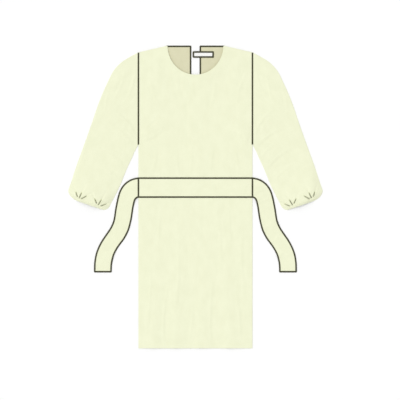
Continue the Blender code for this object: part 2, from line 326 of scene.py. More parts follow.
# The colours of the cloth, and of its inner face as a darker copy that is painted shade: dark,
# light, and at the bond points. Then the painted shade's colour deep in the gathers' grooves, and
# the shares of the gather's depth that it starts at and takes.
CLOTH_COLOURS = ((0.835, 0.857, 0.625, 1), (0.875, 0.897, 0.665, 1), (0.795, 0.817, 0.575, 1))
SHADED_INSIDE_COLOURS = ((0.675, 0.655, 0.443, 1), (0.715, 0.695, 0.483, 1), (0.625, 0.607, 0.395, 1))
GATHER_SHADE_COLOUR = (0.5, 0.5, 0.42, 1)
GATHER_SHADE_FROM = 0.32
GATHER_SHADE_SPAN = 0.6

# The cuff's hem, that the elastic runs in and crimps, and the groove of its stitches.
CASING = 13
CASING_ROLL = 4.5
CRIMP_HEIGHT = 0.5
CRIMP_COUNT = 17
GROOVE_DEPTH = 0.4
GROOVE_WIDTH = 1.6
GROOVE_FADE = 6

# The length over which a sleeve's cloth rises off a fold, and its growth with the height.
FOLD_RISE = 4
RISE_GROWTH = 3.4

# The overlock sewing: a band of dense thread, with strands across it and a needle's stitches.
# Places across the band are shares of its half width. BAND_FACE has them with shares of its rise.
BAND_WIDTH = 6.2
BAND_RISE = 0.28
BAND_FACE = [(-1, 0), (-0.85, 0.7), (0, 1), (0.85, 0.7), (1, 0)]
ACROSS = 0.75
NEEDLE_LINE = 0.5
STATION_STEP = 2.6
STRAND_PITCH = 1.05
STRAND_SLANT = 1.3
STRAND = (0.56, 0.34)
STRAND_AT = np.array([[-1, -0.8, 0, 0.8, 1]])
STRAND_WRAP = 0.6
STITCH = 3.1
THREAD = 0.3

# The band's corners, where the cosine of the turn is below this. Their stations are spread along
# both legs, round an arc, and the inner edge is held back from the spread.
CORNER_COSINE = 0.8
CORNER_CLEAR = 0.55 * BAND_WIDTH
CORNER_RADIUS = 0.62 * BAND_WIDTH
CORNER_STATIONS = 7
CORNER_SPREAD = 0.35 * BAND_WIDTH
CORNER_HOLD = 0.9

# How far the cloth's own corners are drawn in, and over what length.
CORNER_PULL = 1.05
CORNER_LENGTH = 8

# How far the sewing overhangs the cloth's edge, its heights, and where its lines start and end.
OVERHANG = 0.5
UNDER_TOP = 0.72
BELT_END_LIFT = 0.25
TIE_EDGING_LIFT = 0.12
SEAM_TRIM = 1
PAST_NECK = 4
HEM_INSET = 19
NECK_INSET = 7
HEM_TRIM = 3
LINE_POINTS = 90
LINE_STEP = 2
CUFF_ENDS = (0.04, 0.96)

# How high the front lies over the back's edging, and how far beside it that starts to fade.
EDGING_HEIGHT = 1.1
EDGING_MARGIN = 2
EDGING_FADE = 8

# One stitch: shares of its length, and how high the thread is there, in times its radius.
STITCH_PATH = np.array(((0.06, -0.9), (0.25, 0.5), (0.75, 0.5), (0.94, -0.9)))

# Fine relief of the materials: how far apart in millimetres, and how high in metres.
BOND_PITCH, BOND_RELIEF = 1.9, 0.00008
LOOP_PITCH, LOOP_RELIEF = 1.1, 0.0002
TWIST_RELIEF = 0.00012

# The camera and the table, in metres, and the light.
VIEW_WIDTH = 1.52
VIEW_CENTRE = (0.0173, -0.0114)
CAMERA_HEIGHT = 4
SUN_DIRECTION = (0.34, -0.14, -0.9)
SUN_STRENGTH = 1.31
SUN_ANGLE = 40
SKY_STRENGTH = 0.672
GROUND_STRENGTH = 1
TABLE_DROP = 0.0002


def ramp(distance, length):
    """0 at a distance of 0, rising smoothly to 1 at the given length."""
    t = np.clip(distance / length, 0, 1)
    return t * t * (3 - 2 * t)


def runs_of(points):
    """How far each point is along a line of points."""
    steps = np.linalg.norm(np.diff(points, axis=0), axis=1)
    return np.cumsum([0, *steps])


def through(sections, longest_step):
    """Sections along a smooth curve through a table's rows."""
    rows = np.array(sections, float)
    at = runs_of(rows[:, :2])
    slopes = np.gradient(rows, at, axis=0)
    steps = np.diff(at)
    made = []
    for i, (step, longest) in enumerate(zip(steps, np.broadcast_to(longest_step, len(steps)))):
        count = np.ceil(step / longest)
        for t in np.arange(count) / count:
            start = (1 + 2 * t) * (1 - t) ** 2 * rows[i] + t * (1 - t) ** 2 * step * slopes[i]
            end = t**2 * (3 - 2 * t) * rows[i + 1] - t**2 * (1 - t) * step * slopes[i + 1]
            made.append(start + end)
    made.append(rows[-1])
    return np.array(made)


def at_runs(line, run):
    """The points of a line at runs along it."""
    at = runs_of(line)
    return np.stack([np.interp(run, at, column) for column in line.T], axis=-1)


def surface_of(obj):
    """An object's surface in millimetres, for rays."""
    points = [obj.matrix_world @ v.co / MM for v in obj.data.vertices]
    return BVHTree.FromPolygons(points, [tuple(p.vertices) for p in obj.data.polygons])


def heights(surfaces, x, y):
    """The height of the highest surface at each point of a plan."""
    found = []
    for px, py in zip(np.ravel(x), np.ravel(y)):
        above = Vector((px, py, ABOVE_ALL))
        hits = [tree.ray_cast(above, Vector((0, 0, -1)))[0] for tree in surfaces]
        hits = [hit.z for hit in hits if hit is not None]
        found.append(max(hits or [tree.find_nearest(above)[0].z for tree in surfaces]))
    return np.array(found).reshape(np.shape(x))


def soften(values, passes, axes=(0, 1)):
    """Values on a grid, smoothed along its directions."""
    for axis in axes * passes:
        at = np.arange(values.shape[axis])
        before, after = (values.take(at + step, axis, mode="clip") for step in (-1, 1))
        values = values / 2 + (before + after) / 4
    return values


def beside_line(x, y, x0, y0, x1, y1):
    """How far points are along a line from its first end and aside of it, and the line's length."""
    length = np.hypot(x1 - x0, y1 - y0)
    along_x, along_y = (x1 - x0) / length, (y1 - y0) / length
    along = (x - x0) * along_x + (y - y0) * along_y
    return along, (x - x0) * along_y - (y - y0) * along_x, length


def fold_lift(x, y, table):
    """How far a table's soft folds lift the cloth."""
    lift = np.zeros_like(x)
    for x0, y0, height0, x1, y1, height1, width in table:
        along, aside, length = beside_line(x, y, x0, y0, x1, y1)
        share = np.clip(along / length, 0, 1)
        away = np.hypot(aside, along - share * length)
        lift += (height0 + share * (height1 - height0)) * np.exp(-((away / width) ** 2))
    return lift


def crease_lift(x, y, table):
    """How far a table's creases lift the cloth. Each has a shallower dip beside it."""
    lift = np.zeros_like(x)
    for *line, bow, height, width in table:
        along, aside, length = beside_line(x, y, *line)
        share = along / length
        aside = aside - 4 * bow * share * (1 - share)
        fade = np.sin(np.pi * np.clip(share, 0, 1)) ** 0.8
        ridge = np.exp(-((aside / width) ** 2)) - 0.4 * np.exp(-(((aside - 1.6 * width) / width) ** 2))
        lift += height * fade * ridge
    return lift


def drift(x, y, kind, side=0):
    """A slow unevenness of the cloth, of a kind in DRIFTS. It differs between the sides."""
    height, across, along, seed = DRIFTS[kind]
    x, y = np.broadcast_arrays(x, y)
    spots = zip(x.ravel() / across, y.ravel() / along)
    values = [noise.noise(Vector((a, b, seed + side))) for a, b in spots]
    return height * np.array(values).reshape(x.shape)


def corner_pull(from_one, from_other):
    """How far a corner of the cloth is drawn in from its two edges."""
    return CORNER_PULL * (1 - ramp(from_one + from_other, CORNER_LENGTH))


def grid_normals(points, around):
    """A grid's normals, turned up on a sheet and out on a tube."""
    along, across = np.gradient(points, axis=(0, 1))
    if around:
        across = (np.roll(points, -1, axis=1) - np.roll(points, 1, axis=1)) / 2
    normals = np.cross(across, along)
    normals /= np.linalg.norm(normals, axis=2, keepdims=True)
    middle = points.mean(axis=1, keepdims=True) if around else points - (0, 0, 1)
    facing = (normals * (points - middle)).sum()
    return normals if facing > 0 else -normals


def placed(name, data):
    """An object with its data, in the scene."""
    obj = bpy.data.objects.new(name, data)
    bpy.context.scene.collection.objects.link(obj)
    return obj


def new_piece(name, points, faces, slot, cut, gather_shade=None, sharp=45):
    """A mesh object of points in millimetres. cut is where each point lies on the flat cloth, and
    the gather shade, from 0 to 1, is how much painted shade darkens each point in a gather's groove."""
    mesh = bpy.data.meshes.new(name)
    mesh.from_pydata((np.asarray(points) * MM).tolist(), [], faces)
    bm = bmesh.new()
    bm.from_mesh(mesh)
    bmesh.ops.recalc_face_normals(bm, faces=bm.faces)
    bm.to_mesh(mesh)
    bm.free()
    flat = mesh.attributes.new("cut", "FLOAT_VECTOR", "POINT")
    flat.data.foreach_set("vector", np.asarray(cut, float).ravel())
    if gather_shade is not None:
        mesh.attributes.new("gather_shade", "FLOAT", "POINT").data.foreach_set("value", gather_shade.ravel())
    mesh.shade_smooth()
    mesh.set_sharp_from_angle(angle=np.radians(sharp))
    mesh.materials.append(finishes[slot])
    piece = placed(name, mesh)
    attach(piece, "root")
    return piece


def shell(name, place, slot="gown_cloth", cut=None, around=False, thickness=CLOTH, gather_shade=None):
    """Thin cloth under a grid of X, Y and Z: a sheet, or a tube if around. It is cut as it lies where
    no cut is given."""
    points = np.stack(place, axis=2)
    rows, columns = points.shape[:2]
    normals = grid_normals(points, around)
    both = np.vstack([points.reshape(-1, 3), (points - thickness * normals).reshape(-1, 3)])
    inner = rows * columns
    index = np.arange(inner).reshape(rows, columns)
    if around:
        index = np.hstack([index, index[:, :1]])
    quads = np.stack([index[:-1, :-1], index[:-1, 1:], index[1:, 1:], index[1:, :-1]], axis=-1)
    quads = quads.reshape(-1, 4)
    faces = [*quads.tolist(), *(quads[:, ::-1] + inner).tolist()]
    rims = [index[0], index[-1]] if around else [index[0], index[-1], index[:, 0], index[:, -1]]
    for rim in rims:
        faces += [[a, b, b + inner, a + inner] for a, b in zip(rim.tolist(), rim[1:].tolist())]
    flat = np.stack([*(cut or place[:2]), 0 * place[2]], axis=2).reshape(-1, 3)
    # The painted shade of the gathers, the same on both faces of the shell.
    if gather_shade is not None:
        gather_shade = np.vstack([gather_shade, gather_shade])
    return new_piece(name, both, faces, slot, np.vstack([flat, flat]), gather_shade)


def tube_faces(count, stations, sides):
    """Faces of closed tubes, whose points are numbered tube by tube and ring by ring."""
    index = np.arange(count * stations * sides).reshape(count, stations, sides)
    ring = np.concatenate([index, index[..., :1]], axis=2)
    quads = np.stack([ring[:, :-1, :-1], ring[:, :-1, 1:], ring[:, 1:, 1:], ring[:, 1:, :-1]], axis=-1)
    return quads.reshape(-1, 4).tolist() + index[:, 0].tolist() + index[:, -1, ::-1].tolist()


def oval(radii, count):
    """A loop of points round an oval."""
    turns = 2 * np.pi * np.arange(count) / count
    return np.column_stack([np.cos(turns), np.sin(turns)]) * radii


def joined(parts):
    """Several (points, faces) as one."""
    points, faces, start = [], [], 0
    for some_points, some_faces in parts:
        points.append(some_points)
        faces += [[i + start for i in face] for face in some_faces]
        start += len(some_points)
    return np.vstack(points), faces


def seam_plan(legs):
    """Points along legs that meet in corners, an even step apart but for one close to each end."""
    made = []
    for leg in legs:
        leg = np.array(leg)
        total = runs_of(leg)[-1]
        count = max(2, round(total / STATION_STEP))
        inner = np.linspace(CORNER_CLEAR, total - CORNER_CLEAR, count)
        leg = at_runs(leg, [0, *inner, total])
        made.append(leg[1:] if made else leg)
    return np.vstack(made)


def corner_stations(place, before, after, mitre):
    """Rows of x, y and the ways to the left and right edges round a corner, where the outer edge is
    round. mitre is the way from the corner to where the right edges cross."""
    outer = np.sign(before[0] * after[1] - before[1] * after[0])
    rows = []
    for t in np.linspace(0, 1, CORNER_STATIONS):
        shift = CORNER_SPREAD * (max(2 * t - 1, 0) * after - max(1 - 2 * t, 0) * before)
        way = (1 - t) * before + t * after
        facing = np.array((way[1], -way[0])) * (outer / np.linalg.norm(way))
        round_edge = outer * mitre * (1 - 2 * CORNER_RADIUS / BAND_WIDTH) + CORNER_RADIUS * facing - shift
        inner_edge = -outer * mitre - CORNER_HOLD * shift
        left, right = (inner_edge, round_edge) if outer > 0 else (round_edge, inner_edge)
        rows.append([*(place + shift), *left, *right])
    return rows


def seam_band(legs, surfaces, lift=0):
    """A band on the cloth or a lift above it, as rows of run, x, y, the ways to its left and right
    edges in x and y, and the heights at three places across it."""
    plan = seam_plan(legs)
    steps = np.diff(plan, axis=0)
    steps /= np.linalg.norm(steps, axis=1, keepdims=True)
    before, after = np.vstack([steps[:1], steps]), np.vstack([steps, steps[-1:]])
    heading = (before + after) / 2
    aside = np.stack([heading[:, 1], -heading[:, 0]], axis=1) * BAND_WIDTH / 2
    aside /= (heading**2).sum(axis=1, keepdims=True)
    rows = []
    for place, back, ahead, right in zip(plan, before, after, aside):
        if back @ ahead < CORNER_COSINE:
            rows += corner_stations(place, back, ahead, right)
        else:
            rows.append([*place, *-right, *right])
    rows = np.array(rows)
    plan, left, right = rows[:, :2], rows[:, 2:4], rows[:, 4:]
    across = [heights(surfaces, *(plan + ACROSS * way).T) for way in (left, 0 * left, right)]
    z = soften(np.stack(across, axis=1), passes=1, axes=(0,))
    return np.column_stack([runs_of(plan), rows, z + lift])


def on_band(band, run, share):
    """Points on a band, at runs along it and shares from -1 to 1 across it, and its direction."""
    run, share = np.broadcast_arrays(run, share)
    columns = (np.interp(run, band[:, 0], column) for column in band.T[1:])
    x, y, left_x, left_y, right_x, right_y, left, middle, right = columns
    tilt, bend = (right - left) / 2, (left + right) / 2 - middle
    z = middle + tilt * share / ACROSS + bend * (share / ACROSS) ** 2
    to_left, to_right = np.maximum(-share, 0), np.maximum(share, 0)
    x, y = x + to_left * left_x + to_right * right_x, y + to_left * left_y + to_right * right_y
    across_x, across_y = right_x - left_x, right_y - left_y
    long = np.hypot(across_x, across_y)
    return np.stack([x, y, z], axis=-1), np.stack([-across_y / long, across_x / long, 0 * z], axis=-1)


def stitch_row(line, lift):
    """Points and faces of stitches along a line, each dipping in at its ends."""
    total = runs_of(line)[-1]
    count = max(1, round(total / STITCH))
    path = at_runs(line, (np.arange(count)[:, None] + STITCH_PATH[:, 0]) * total / count)
    heading = path[:, -1] - path[:, 0]
    side = np.stack([heading[:, 1], -heading[:, 0], np.zeros(count)], axis=1)
    side /= np.linalg.norm(side, axis=1, keepdims=True)
    path[..., 2] += lift + THREAD * STITCH_PATH[:, 1]
    ring = oval(THREAD, 5)
    points = path[:, :, None] + ring[:, :1] * side[:, None, None] + ring[:, 1:] * (0, 0, 1)
    return points.reshape(-1, 3), tube_faces(count, len(STITCH_PATH), len(ring))


def overlock(name, band, under=0.2, outer=0, facing=1):
    """A seam's sewing: a flat band, dense strands across it and a needle's stitches. It wraps the
    cloth's edge on the side, -1 or 1, that outer names. under is how far down it reaches."""
    total = band[-1, 0]
    loop = [(share, BAND_RISE * up) for share, up in BAND_FACE]
    loop = np.array([*loop, (1, -under), (0, -under), (-1, -under)])
    base, _ = on_band(band, band[:, :1], loop[None, :, 0])
    base[..., 2] += facing * loop[:, 1]

    # No two strands lie quite alike.
    count = round(total / STRAND_PITCH)
    number = np.arange(count)[:, None]
    uneven = 0.1 * np.sin(7.3 * number) + 0.08 * np.sin(2.9 * number + 1)
    run = (number + 0.5 + uneven) * total / count + STRAND_SLANT * STRAND_AT / 2
    path, heading = on_band(band, np.clip(run, 0, total), STRAND_AT)
    rise = BAND_RISE * np.sqrt(1 - 0.9 * np.abs(STRAND_AT) ** 3) + 0.05 * np.sin(4.1 * number)
    path[..., 2] += facing * (rise - STRAND_WRAP * under * (STRAND_AT * outer == 1))
    ring = oval(STRAND, 4)
    strands = path[:, :, None] + ring[:, :1] * heading[:, :, None] + ring[:, 1:] * (0, 0, 1)

    parts = [
        (base.reshape(-1, 3), tube_faces(1, len(band), len(loop))),
        (strands.reshape(-1, 3), tube_faces(count, STRAND_AT.size, len(ring))),
    ]
    if facing > 0:
        line, _ = on_band(band, band[:, 0], -NEEDLE_LINE * outer or NEEDLE_LINE)
        parts.append(stitch_row(line, BAND_RISE + STRAND[1]))
    points, faces = joined(parts)
    return new_piece(name, points, faces, "seam_thread", points, sharp=60)


def stitching(name, plan, piece):
    """Stitches in the cloth's own colour along a plan of points on a piece."""
    total = runs_of(plan)[-1]
    plan = at_runs(plan, np.linspace(0, total, round(total / LINE_STEP) + 1))
    line = np.column_stack([plan, heights([surface_of(piece)], *plan.T)])
    points, faces = stitch_row(line, 0)
    return new_piece(name, points, faces, "gown_cloth", points, sharp=60)


def add_node(tree, kind, inputs=None, **settings):
    """A new shader node. Each of its inputs is a value or another node's output."""
    node = tree.nodes.new(f"ShaderNode{kind}")
    for name, value in settings.items():
        setattr(node, name, value)
    for name, value in (inputs or {}).items():
        if isinstance(value, bpy.types.NodeSocket):
            tree.links.new(value, node.inputs[name])
        else:
            node.inputs[name].default_value = value
    return node


def blend(tree, factor, first, second):
    """A mix of two colours by a factor."""
    inputs = {"Factor": factor, "A": first, "B": second}
    return add_node(tree, "Mix", inputs, data_type="RGBA").outputs["Result"]


def remapped(tree, value, low, high, out_low, out_high):
    """A value moved from one range to another, held inside it."""
    inputs = {"Value": value, "From Min": low, "From Max": high, "To Min": out_low, "To Max": out_high}
    return add_node(tree, "MapRange", inputs, interpolation_type="SMOOTHSTEP").outputs["Result"]


def maths(tree, operation, first, second):
    """Two values put together by a math operation."""
    return add_node(tree, "Math", {0: first, 1: second}, operation=operation).outputs["Value"]


def carried(tree, name, output):
    """What the cloth carries: "cut", its place when flat, or the painted shade of the gathers."""
    return add_node(tree, "Attribute", attribute_name=name).outputs[output]


def noise_of(tree, place, scale, detail, stretch=(1, 1, 1)):
    """Noise on the flat cloth. The scale is in waves for each millimetre."""
    spot = add_node(tree, "Mapping", {"Vector": place, "Scale": stretch}).outputs["Vector"]
    return add_node(tree, "TexNoise", {"Vector": spot, "Scale": scale, "Detail": detail}).outputs["Fac"]


def dots(tree, place, pitch):
    """1 in small even dots that stand a pitch apart on slanting rows, 0 between them."""
    slant = (0, 0, np.radians(45))
    spot = add_node(tree, "Mapping", {"Vector": place, "Rotation": slant}).outputs["Vector"]
    cells = add_node(tree, "TexVoronoi", {"Vector": spot, "Scale": 1 / pitch, "Randomness": 0})
    return remapped(tree, cells.outputs["Distance"], 0.16, 0.34, 1, 0)


def new_material(name, roughness, sheen=0, sheen_roughness=0.5):
    """A material, its node tree and its shader."""
    material = bpy.data.materials.new(name)
    material.use_nodes = True
    tree = material.node_tree
    shader = tree.nodes["Principled BSDF"]
    shader.inputs["Roughness"].default_value = roughness
    shader.inputs["Sheen Weight"].default_value = sheen
    shader.inputs["Sheen Roughness"].default_value = sheen_roughness
    return material, tree, shader


def dress(tree, shader, colour, relief, height):
    """A shader's colour, and relief of a real height in metres."""
    tree.links.new(colour, shader.inputs["Base Color"])
    node = add_node(tree, "Bump", {"Strength": 1, "Distance": height, "Height": relief})
    tree.links.new(node.outputs["Normal"], shader.inputs["Normal"])


def nonwoven(name, dark, light, bonded):
    """Spun-bond nonwoven: cloudy fibres, bonded together in a fine lattice of bond points, with painted
    shade where the cloth lies deep in a gather.
    """
    material, tree, shader = new_material(name, 0.8, 0.12)
    shader.inputs["Specular IOR Level"].default_value = 0.3
    place = carried(tree, "cut", "Vector")
    clouds = noise_of(tree, place, 0.035, 3, (1, 0.6, 1))
    fibres = noise_of(tree, place, 0.9, 4, (1, 0.35, 1))
    points = dots(tree, place, BOND_PITCH)
    body = maths(tree, "MULTIPLY", clouds, 0.62)
    body = maths(tree, "ADD", body, maths(tree, "MULTIPLY", fibres, 0.38))
    cloth = blend(tree, remapped(tree, body, 0.3, 0.7, 0, 1), dark, light)
    cloth = blend(tree, maths(tree, "MULTIPLY", points, 0.5), cloth, bonded)
    # Painted shade: the cloth turns darker and greyer deep in the gathers' grooves.
    cloth = blend(tree, carried(tree, "gather_shade", "Fac"), cloth, GATHER_SHADE_COLOUR)
    tree.links.new(remapped(tree, points, 0, 1, 0.84, 0.66), shader.inputs["Roughness"])
    relief = maths(tree, "SUBTRACT", maths(tree, "MULTIPLY", fibres, 0.5), points)
    dress(tree, shader, cloth, relief, BOND_RELIEF)
    return material


def thread_material():
    """Dark olive overlock thread, with its twist."""
    material, tree, shader = new_material("overlock_thread", 0.62, 0.1)
    place = carried(tree, "cut", "Vector")
    waves = {"Vector": place, "Scale": 0.9, "Distortion": 1.5}
    twist = add_node(tree, "TexWave", waves, bands_direction="DIAGONAL")
    tone = noise_of(tree, place, 0.25, 2)
    colour = blend(tree, tone, (0.043, 0.042, 0.017, 1), (0.07, 0.068, 0.029, 1))
    dress(tree, shader, colour, twist.outputs["Fac"], TWIST_RELIEF)
    return material


def tape_material():
    """White tape with short loops of pile in rows."""
    material, tree, shader = new_material("loop_tape", 0.75, 0.25, 0.35)
    place = carried(tree, "cut", "Vector")
    loops = dots(tree, place, LOOP_PITCH)
    fuzz = noise_of(tree, place, 1.6, 4)
    tone = maths(tree, "MULTIPLY", loops, fuzz)
    colour = blend(tree, tone, (0.95, 0.95, 0.93, 1), (0.99, 0.99, 0.975, 1))
    relief = maths(tree, "ADD", loops, maths(tree, "MULTIPLY", fuzz, 0.6))
    dress(tree, shader, colour, relief, LOOP_RELIEF)
    return material


def table_material():
    """A plain pale table top."""
    material, tree, shader = new_material("table", 0.9)
    spot = add_node(tree, "TexCoord").outputs["Object"]
    grain = add_node(tree, "TexNoise", {"Vector": spot, "Scale": 220}).outputs["Fac"]
    colour = blend(tree, grain, (0.95, 0.95, 0.95, 1), (0.96, 0.96, 0.96, 1))
    tree.links.new(colour, shader.inputs["Base Color"])
    return material


def shoulder_line(x):
    """Y of the shoulders, level between the two neck points."""
    share = (np.abs(x) - NECK_HALF) / (SIDE - NECK_HALF)
    return TOP - (TOP - SHOULDER_Y) * np.clip(share, 0, 1)


def neck_line(x):
    """Y of the round neckline, level with the neck points beyond them."""
    return TOP - NECK_DEPTH * np.sqrt(1 - np.clip(np.abs(x) / NECK_HALF, 0, 1) ** 2)


def front_plan():
    """The plan of the front: level rows, which fan out to the neck and shoulders, and columns that
    stand evenly round the neckline."""
    x = SIDE * np.linspace(-1, 1, round(2 * SIDE / FINE) + 1)
    round_neck = NECK_HALF * np.sin(np.pi / 2 * np.clip(x / NECK_HALF, -1, 1))
    top_x = np.where(np.abs(x) < NECK_HALF, round_neck, x)
    upper = np.minimum(neck_line(top_x), shoulder_line(top_x))
    yoke = TOP - NECK_DEPTH - YOKE
    low = np.linspace(HEM, yoke, round((yoke - HEM) / FINE) + 1)
    fan = np.linspace(0, 1, FAN_ROWS + 1)[1:, None]
    y = np.vstack([low[:, None] + 0 * x, yoke + fan * (upper - yoke)])
    return np.vstack([x + 0 * low[:, None], x + fan * (top_x - x)]), y


def front_z(x, y):
    """Height of the front panel: soft folds, finer creases, and its seams drawn down."""
    beside_neck = np.hypot(x / NECK_HALF, (TOP - y) / NECK_DEPTH) - 1
    neck = NECK_LIFT * np.exp(-((beside_neck * NECK_HALF / NECK_LIFT_WIDTH) ** 2))
    from_side, from_shoulder = SIDE - np.abs(x), shoulder_line(x) - y
    at_seams = ramp(from_side, EDGE_FADE) * ramp(from_shoulder, EDGE_FADE)
    z = LAYER + WALL + at_seams * (neck + fold_lift(x, y, FRONT_FOLDS))
    fine = crease_lift(x, y, FRONT_CREASES) + drift(x, y, "front")
    z = z + ramp(from_side, FRONT_FADE) * ramp(from_shoulder, FRONT_FADE) * fine
    on_back = WALL + CLOTH + LAYER_GAP
    from_edging = np.abs(x) - BACK_EDGE - BAND_WIDTH - EDGING_MARGIN
    on_edging = on_back + EDGING_HEIGHT * (1 - ramp(from_edging, EDGING_FADE))
    side_seam = (1 - ramp(from_side, SIDE_SEAM_FADE)) * ramp(UNDERARM_Y - y, UNDERARM_FADE)
    return np.maximum(z - side_seam * (z - on_back), on_edging)


def make_front():
    """The front panel, from the hem up to the round neckline and the shoulders."""
    x, y = front_plan()
    piece = shell("front", (x, y, front_z(x, y)))
    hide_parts("front_panel")
    return piece


def make_back(side, wearer):
    """A back panel. It lies flat on the table and shows its inner face in the neckline, in a darker copy
    of the cloth's colours that is painted shade.
    """
    x = np.linspace(BACK_EDGE, SIDE, BACK_COLUMNS)
    share = np.linspace(0, 1, BACK_ROWS)[:, None]
    y = HEM + share * (shoulder_line(x) - HEM)
    pull = corner_pull(x - BACK_EDGE, TOP - y)
    x, y = side * (x + pull), y - pull
    if side < 0:
        x, y = x[:, ::-1], y[:, ::-1]
    inside = ramp(np.abs(x) - BACK_EDGE, BACK_FADE) * ramp(TOP - y, BACK_FADE)
    z = WALL - LAYER_GAP + drift(x, y, "back", side) + inside * crease_lift(x, y, BACK_CREASES)
    # Its face takes the cloth's darker copy: painted shade.
    piece = shell(f"back_{wearer}", (x, y, np.maximum(z, CLOTH + TABLE_CLEAR)), "gown_inside")
    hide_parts(f"back_panel_{wearer}")
    return piece


def make_belt():
    """The waist belt, sewn down along both edges, so that it swells a little between them."""
    x = np.linspace(belt_low[0], belt_high[0], round(2 * SIDE / BELT_FINE) + 1)
    x, y = np.meshgrid(x, np.linspace(belt_low[1], belt_high[1], BELT_ROWS))
    share = (y - belt_low[1]) / (belt_high[1] - belt_low[1])
    from_end = SIDE - np.abs(x)
    inside = ramp(from_end, BELT_FADE) * ramp(share, BELT_EDGE_FADE) * ramp(1 - share, BELT_EDGE_FADE)
    fine = crease_lift(x, y, BELT_CREASES) + drift(x, y, "belt") + BELT_SWELL
    puckers = drift(x, y, "belt puckers") * ramp(np.abs(2 * share - 1), 1)
    z = soften(front_z(x, y), passes=4) + CLOTH + BELT_GAP
    z = z + inside * fine + ramp(from_end, PUCKER_FADE) * np.maximum(puckers, DEEPEST_PUCKER)
    piece = shell("waist_belt", (x, y, z), cut=(y, x))
    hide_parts("belt")
    return piece


def gather_drop(x, y, width):
    """How deep the cuff's gathers are, with X outwards. They and their soft tails reach a little past
    the ends of their lines."""
    drop = np.zeros_like(x)
    for *line, depth in GATHERS:
        along, aside, length = beside_line(x, y, *line)
        ahead = length - along
        fade = ramp(along + 6, 11) * ramp(ahead + 4, 6)
        spread = width * (0.6 + 0.5 * np.clip(along / length + 0.25, 0, 1))
        groove = np.exp(-(np.abs(aside / spread) ** 1.4))
        lips = np.exp(-(((np.abs(aside) - 3 * width) / (1.5 * width)) ** 2))
        tail = ramp(along + TAIL_REACH, TAIL_REACH) * ramp(ahead + 11, 12)
        soft = np.exp(-((aside / TAIL_WIDTH) ** 2))
        drop += depth * fade * (groove - GATHER_RIDGE * lips) + TAIL_DEPTH * tail * soft
    return drop


def crimps(share, to_mouth, turn):
    """Small uneven waves of the elastic's hem, fading out above it."""
    uneven = share + 0.011 * np.sin(21 * share + turn) + 0.007 * np.sin(47 * share)
    strength = 0.75 + 0.25 * np.sin(33 * share + 2 * turn)
    waves = np.cos(2 * np.pi * CRIMP_COUNT * uneven)
    return CRIMP_HEIGHT * strength * waves * (1 - ramp(to_mouth - CASING / 2, 1.4 * CASING))


class Arm:
    """A sleeve's lines across it, from the armhole to the mouth, and its upper and under cloth.
    Distances are along a line from its end at the overarm fold."""

    def __init__(self, side):
        lines = through(SLEEVE_LINES, SLEEVE_STEPS)
        self.side = side
        self.over, self.under = lines[:, :2] * (side, 1), lines[:, 2:4] * (side, 1)
        self.crown, self.edge = lines[:, 4:5], lines[:, 5:6]
        self.width = np.linalg.norm(self.under - self.over, axis=1)[:, None]
        self.run = runs_of((self.over + self.under) / 2)[:, None]
        self.to_mouth = self.run[-1] - self.run

    def plan(self, distance):
        """X and Y at distances along each line."""
        share = (distance / self.width)[..., None]
        places = self.over[:, None] + share * (self.under - self.over)[:, None]
        return places[..., 0], places[..., 1]

    def across(self, count):
        """Shares from fold to fold, the distances there, and those to the nearer fold."""
        share = np.linspace(0, 1, count)[None, :]
        distance = FOLD_RADIUS + share * (self.width - 2 * FOLD_RADIUS)
        return share, distance, np.minimum(distance, self.width - distance)

    def upper(self):
        """Distances across the upper cloth, its height, and how much painted shade darkens it in the
        gathers' grooves.
        """
        share, distance, from_edge = self.across(SLEEVE_COLUMNS)
        x, y = self.plan(distance)
        from_armhole = np.abs(x) - SIDE
        inside = np.clip((distance - self.edge) / (self.width - 2 * self.edge), 0, 1)
        full = 1 - np.abs(2 * inside - 1) ** CROWN_FULLNESS
        clear = ramp(from_edge, EDGE_FADE) * ramp(from_armhole, EDGE_FADE)
        z = 2 * self.edge + self.crown * full + clear * fold_lift(x, y, SLEEVE_FOLDS)

        # Finer creases, and the way up from the two folds.
        fine = crease_lift(x, y, SLEEVE_CREASES) + drift(x, y, "sleeve", self.side)
        clear = ramp(from_edge, SLEEVE_FADE) * ramp(from_armhole, ARMHOLE_FADE)
        tall = z + clear * ramp(self.to_mouth - CASING, CUFF_FADE) * fine - 2 * FOLD_RADIUS
        length = FOLD_RISE + RISE_GROWTH * np.maximum(tall, 0)
        rise = np.clip((from_edge - FOLD_RADIUS) / length, 0, 1)
        z = 2 * FOLD_RADIUS + tall * np.sin(np.pi / 2 * rise)

        # The hem, its crimps and groove, and the gathers, with painted shade where they are deepest.
        z = z - CASING_ROLL * full * (1 - ramp(self.to_mouth, CASING))
        drop = gather_drop(np.abs(x), y, GATHER_WIDTH)
        z = z - drop + ramp(from_edge, CRIMP_FADE) * crimps(share, self.to_mouth, self.side)
        groove = np.exp(-(((self.to_mouth - CASING) / GROOVE_WIDTH) ** 2))
        z = z - GROOVE_DEPTH * ramp(from_edge, GROOVE_FADE) * groove
        # The last value is the gathers' painted shade, taken from their depth.
        return distance, z, ramp(drop / GATHERS[0][-1] - GATHER_SHADE_FROM, GATHER_SHADE_SPAN)

    def lower(self):
        """Distances across the under cloth, and its height over the table."""
        share, distance, from_edge = self.across(UNDER_COLUMNS)
        x, y = self.plan(distance)
        creased = GATHER_SHARE_UNDER * gather_drop(np.abs(x), y, GATHER_WIDTH_UNDER)
        creased = creased + crimps(share, self.to_mouth, 2 - self.side)
        z = TABLE_CLEAR + ramp(from_edge, CRIMP_FADE) * np.maximum(creased, 0)
        return distance, z + ARMHOLE_LIFT * (1 - ramp(np.abs(x) - SEAM_X, ARMHOLE_LIFT_FADE))


